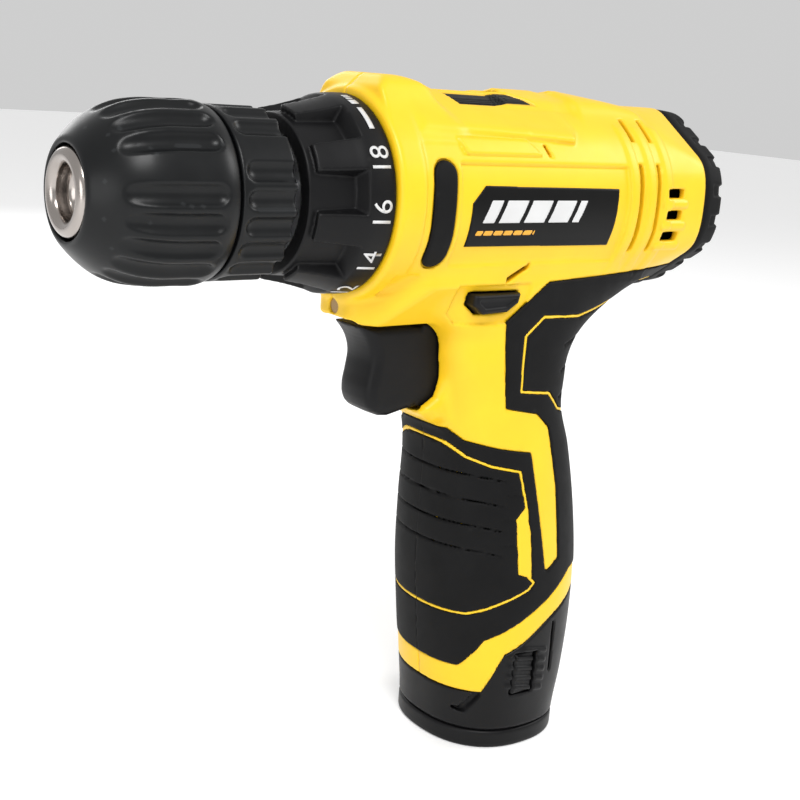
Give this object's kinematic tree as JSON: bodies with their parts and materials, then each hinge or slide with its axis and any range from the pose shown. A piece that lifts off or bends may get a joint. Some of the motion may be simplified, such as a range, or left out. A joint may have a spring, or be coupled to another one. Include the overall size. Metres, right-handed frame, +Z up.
{
  "type": "cordless drill",
  "caption": "Pistol-grip cordless drill with keyless chuck, torque collar, planetary gearbox, trigger and slide-out battery.",
  "frame": {"origin": "middle of the battery's flat bottom face", "axes": "+X out of the chuck, +Y the left side of the tool, +Z up from the base to the motor housing"},
  "size_m": [0.167, 0.0462, 0.1632],
  "materials": {
    "yellow_plastic": "fine moulded texture, satin",
    "grip_rubber": "matt soft-touch overmould",
    "black_plastic": "fine spark texture",
    "badge_print": "printed label film, semi-gloss",
    "chuck_plastic": "satin moulded nylon",
    "chuck_steel": "polished nickel plate",
    "jaw_steel": "ground tool steel",
    "machined_steel": "machined",
    "screw_steel": "black zinc",
    "case_alloy": "die cast",
    "gear_steel": "sintered, oiled",
    "brass": "machined",
    "winding_copper": "enamelled copper on laminated core",
    "magnet": "sintered ferrite",
    "carbon": "pressed carbon",
    "lens": "clear moulded lens",
    "board": "circuit board",
    "cell_wrap": "shrink wrap"
  },
  "bodies": {
    "housing": {"housing_left": "yellow_plastic", "housing_right": "yellow_plastic", "grip_left": "grip_rubber", "grip_right": "grip_rubber", "rear_cap": "grip_rubber", "side_pads": "grip_rubber", "side_badges": "badge_print", "housing_screws": "screw_steel", "work_light": "lens", "light_board": "board", "switch_body": "black_plastic", "trigger_spring": "machined_steel", "gear_case": "case_alloy", "gear_case_cover": "black_plastic", "ring_gear_1": "gear_steel", "ring_gear_3": "gear_steel", "spindle_bearing": "machined_steel", "clutch_spring": "machined_steel", "clutch_balls": "machined_steel", "motor_can": "machined_steel", "motor_end_cap": "black_plastic", "motor_magnets": "magnet", "motor_brushes": "carbon", "contact_block": "black_plastic"},
    "rotor": {"motor_pinion": "brass", "armature": "winding_copper", "commutator": "brass"},
    "carrier_1": {"carrier_1": "gear_steel"},
    "carrier_2": {"carrier_2": "gear_steel"},
    "chuck": {"spindle": "machined_steel", "chuck_body": "chuck_steel", "chuck_rear_sleeve": "chuck_plastic", "chuck_screw": "screw_steel"},
    "chuck_sleeve": {"chuck_front_sleeve": "chuck_plastic", "chuck_nut": "screw_steel"},
    "jaw_1": {"jaw_1": "jaw_steel"},
    "jaw_2": {"jaw_2": "jaw_steel"},
    "jaw_3": {"jaw_3": "jaw_steel"},
    "collar": {"torque_collar": "black_plastic"},
    "clutch_nut": {"clutch_nut": "case_alloy"},
    "trigger": {"trigger": "black_plastic"},
    "direction_bar": {"direction_bar": "black_plastic"},
    "speed_selector": {"speed_selector": "black_plastic", "shift_wire": "machined_steel", "ring_gear_2": "gear_steel"},
    "battery": {"battery_case": "black_plastic", "battery_base": "black_plastic", "battery_cells": "cell_wrap", "battery_contacts": "brass"},
    "latch_left": {"latch_left": "black_plastic"},
    "latch_right": {"latch_right": "black_plastic"},
    "planet_1a": {"planet_1a": "gear_steel"},
    "planet_1b": {"planet_1b": "gear_steel"},
    "planet_1c": {"planet_1c": "gear_steel"},
    "planet_2a": {"planet_2a": "gear_steel"},
    "planet_2b": {"planet_2b": "gear_steel"},
    "planet_2c": {"planet_2c": "gear_steel"},
    "planet_3a": {"planet_3a": "gear_steel"},
    "planet_3b": {"planet_3b": "gear_steel"},
    "planet_3c": {"planet_3c": "gear_steel"}
  },
  "joints": [
    {"name": "rotor_spin", "type": "hinge", "parent": "housing", "child": "rotor", "pos_m": [0, 0, 0.137], "axis": [1, 0, 0], "continuous": true},
    {"name": "carrier_1_spin", "type": "hinge", "parent": "housing", "child": "carrier_1", "pos_m": [0, 0, 0.137], "axis": [1, 0, 0], "continuous": true},
    {"name": "carrier_2_spin", "type": "hinge", "parent": "housing", "child": "carrier_2", "pos_m": [0, 0, 0.137], "axis": [1, 0, 0], "continuous": true},
    {"name": "spindle_spin", "type": "hinge", "parent": "housing", "child": "chuck", "pos_m": [0, 0, 0.137], "axis": [1, 0, 0], "continuous": true},
    {"name": "planet_1a_spin", "type": "hinge", "parent": "carrier_1", "child": "planet_1a", "pos_m": [0.02, 0, 0.1265], "axis": [1, 0, 0], "continuous": true},
    {"name": "planet_1b_spin", "type": "hinge", "parent": "carrier_1", "child": "planet_1b", "pos_m": [0.02, 0.00909, 0.14225], "axis": [1, 0, 0], "continuous": true},
    {"name": "planet_1c_spin", "type": "hinge", "parent": "carrier_1", "child": "planet_1c", "pos_m": [0.02, -0.00909, 0.14225], "axis": [1, 0, 0], "continuous": true},
    {"name": "planet_2a_spin", "type": "hinge", "parent": "carrier_2", "child": "planet_2a", "pos_m": [0.02, 0, 0.1265], "axis": [1, 0, 0], "continuous": true},
    {"name": "planet_2b_spin", "type": "hinge", "parent": "carrier_2", "child": "planet_2b", "pos_m": [0.02, 0.00909, 0.14225], "axis": [1, 0, 0], "continuous": true},
    {"name": "planet_2c_spin", "type": "hinge", "parent": "carrier_2", "child": "planet_2c", "pos_m": [0.02, -0.00909, 0.14225], "axis": [1, 0, 0], "continuous": true},
    {"name": "planet_3a_spin", "type": "hinge", "parent": "chuck", "child": "planet_3a", "pos_m": [0.02, 0, 0.1265], "axis": [1, 0, 0], "continuous": true},
    {"name": "planet_3b_spin", "type": "hinge", "parent": "chuck", "child": "planet_3b", "pos_m": [0.02, 0.00909, 0.14225], "axis": [1, 0, 0], "continuous": true},
    {"name": "planet_3c_spin", "type": "hinge", "parent": "chuck", "child": "planet_3c", "pos_m": [0.02, -0.00909, 0.14225], "axis": [1, 0, 0], "continuous": true},
    {"name": "sleeve_turn", "type": "hinge", "parent": "chuck", "child": "chuck_sleeve", "pos_m": [0, 0, 0.137], "axis": [1, 0, 0], "range_deg": [0, 2448]},
    {"name": "jaw_1_slide", "type": "slide", "parent": "chuck", "child": "jaw_1", "axis": [-0.9511, 0, -0.309], "range_m": [0, 0.0151]},
    {"name": "jaw_2_slide", "type": "slide", "parent": "chuck", "child": "jaw_2", "axis": [-0.9511, 0.2676, 0.1545], "range_m": [0, 0.0151]},
    {"name": "jaw_3_slide", "type": "slide", "parent": "chuck", "child": "jaw_3", "axis": [-0.9511, -0.2676, 0.1545], "range_m": [0, 0.0151]},
    {"name": "collar_turn", "type": "hinge", "parent": "housing", "child": "collar", "pos_m": [0, 0, 0.137], "axis": [1, 0, 0], "range_deg": [-262, 0]},
    {"name": "clutch_nut_travel", "type": "slide", "parent": "collar", "child": "clutch_nut", "axis": [1, 0, 0], "range_m": [-0.0037, 0], "deforming": ["clutch_spring"]},
    {"name": "trigger_pull", "type": "slide", "parent": "housing", "child": "trigger", "axis": [-1, 0, 0], "range_m": [0, 0.006], "stiffness_N_per_m": 800, "springref_m": -0.003, "deforming": ["trigger_spring"]},
    {"name": "direction_shift", "type": "slide", "parent": "housing", "child": "direction_bar", "axis": [0, 1, 0], "range_m": [-0.002, 0.002]},
    {"name": "speed_shift", "type": "slide", "parent": "housing", "child": "speed_selector", "axis": [1, 0, 0], "range_m": [-0.0033, 0]},
    {"name": "battery_release", "type": "slide", "parent": "housing", "child": "battery", "axis": [0, 0, -1], "range_m": [0, 0.06]},
    {"name": "latch_left_press", "type": "slide", "parent": "battery", "child": "latch_left", "axis": [0, -1, 0], "range_m": [0, 0.0015], "stiffness_N_per_m": 500, "springref_m": -0.002},
    {"name": "latch_right_press", "type": "slide", "parent": "battery", "child": "latch_right", "axis": [0, 1, 0], "range_m": [0, 0.0015], "stiffness_N_per_m": 500, "springref_m": -0.002}
  ],
  "couplings": [
    {"joint": "carrier_1_spin", "follows": "rotor_spin", "ratio": 0.26667},
    {"joint": "carrier_2_spin", "follows": "rotor_spin", "ratio": 0.071111},
    {"joint": "spindle_spin", "follows": "rotor_spin", "ratio": 0.018963},
    {"joint": "planet_1a_spin", "follows": "rotor_spin", "ratio": -0.8381},
    {"joint": "planet_1b_spin", "follows": "rotor_spin", "ratio": -0.8381},
    {"joint": "planet_1c_spin", "follows": "rotor_spin", "ratio": -0.8381},
    {"joint": "planet_2a_spin", "follows": "rotor_spin", "ratio": -0.22349},
    {"joint": "planet_2b_spin", "follows": "rotor_spin", "ratio": -0.22349},
    {"joint": "planet_2c_spin", "follows": "rotor_spin", "ratio": -0.22349},
    {"joint": "planet_3a_spin", "follows": "rotor_spin", "ratio": -0.059598},
    {"joint": "planet_3b_spin", "follows": "rotor_spin", "ratio": -0.059598},
    {"joint": "planet_3c_spin", "follows": "rotor_spin", "ratio": -0.059598},
    {"joint": "jaw_1_slide", "follows": "sleeve_turn", "m_per_rad": 0.00035108},
    {"joint": "jaw_2_slide", "follows": "sleeve_turn", "m_per_rad": 0.00035108},
    {"joint": "jaw_3_slide", "follows": "sleeve_turn", "m_per_rad": 0.00035108},
    {"joint": "clutch_nut_travel", "follows": "collar_turn", "m_per_rad": 0.0008}
  ]
}
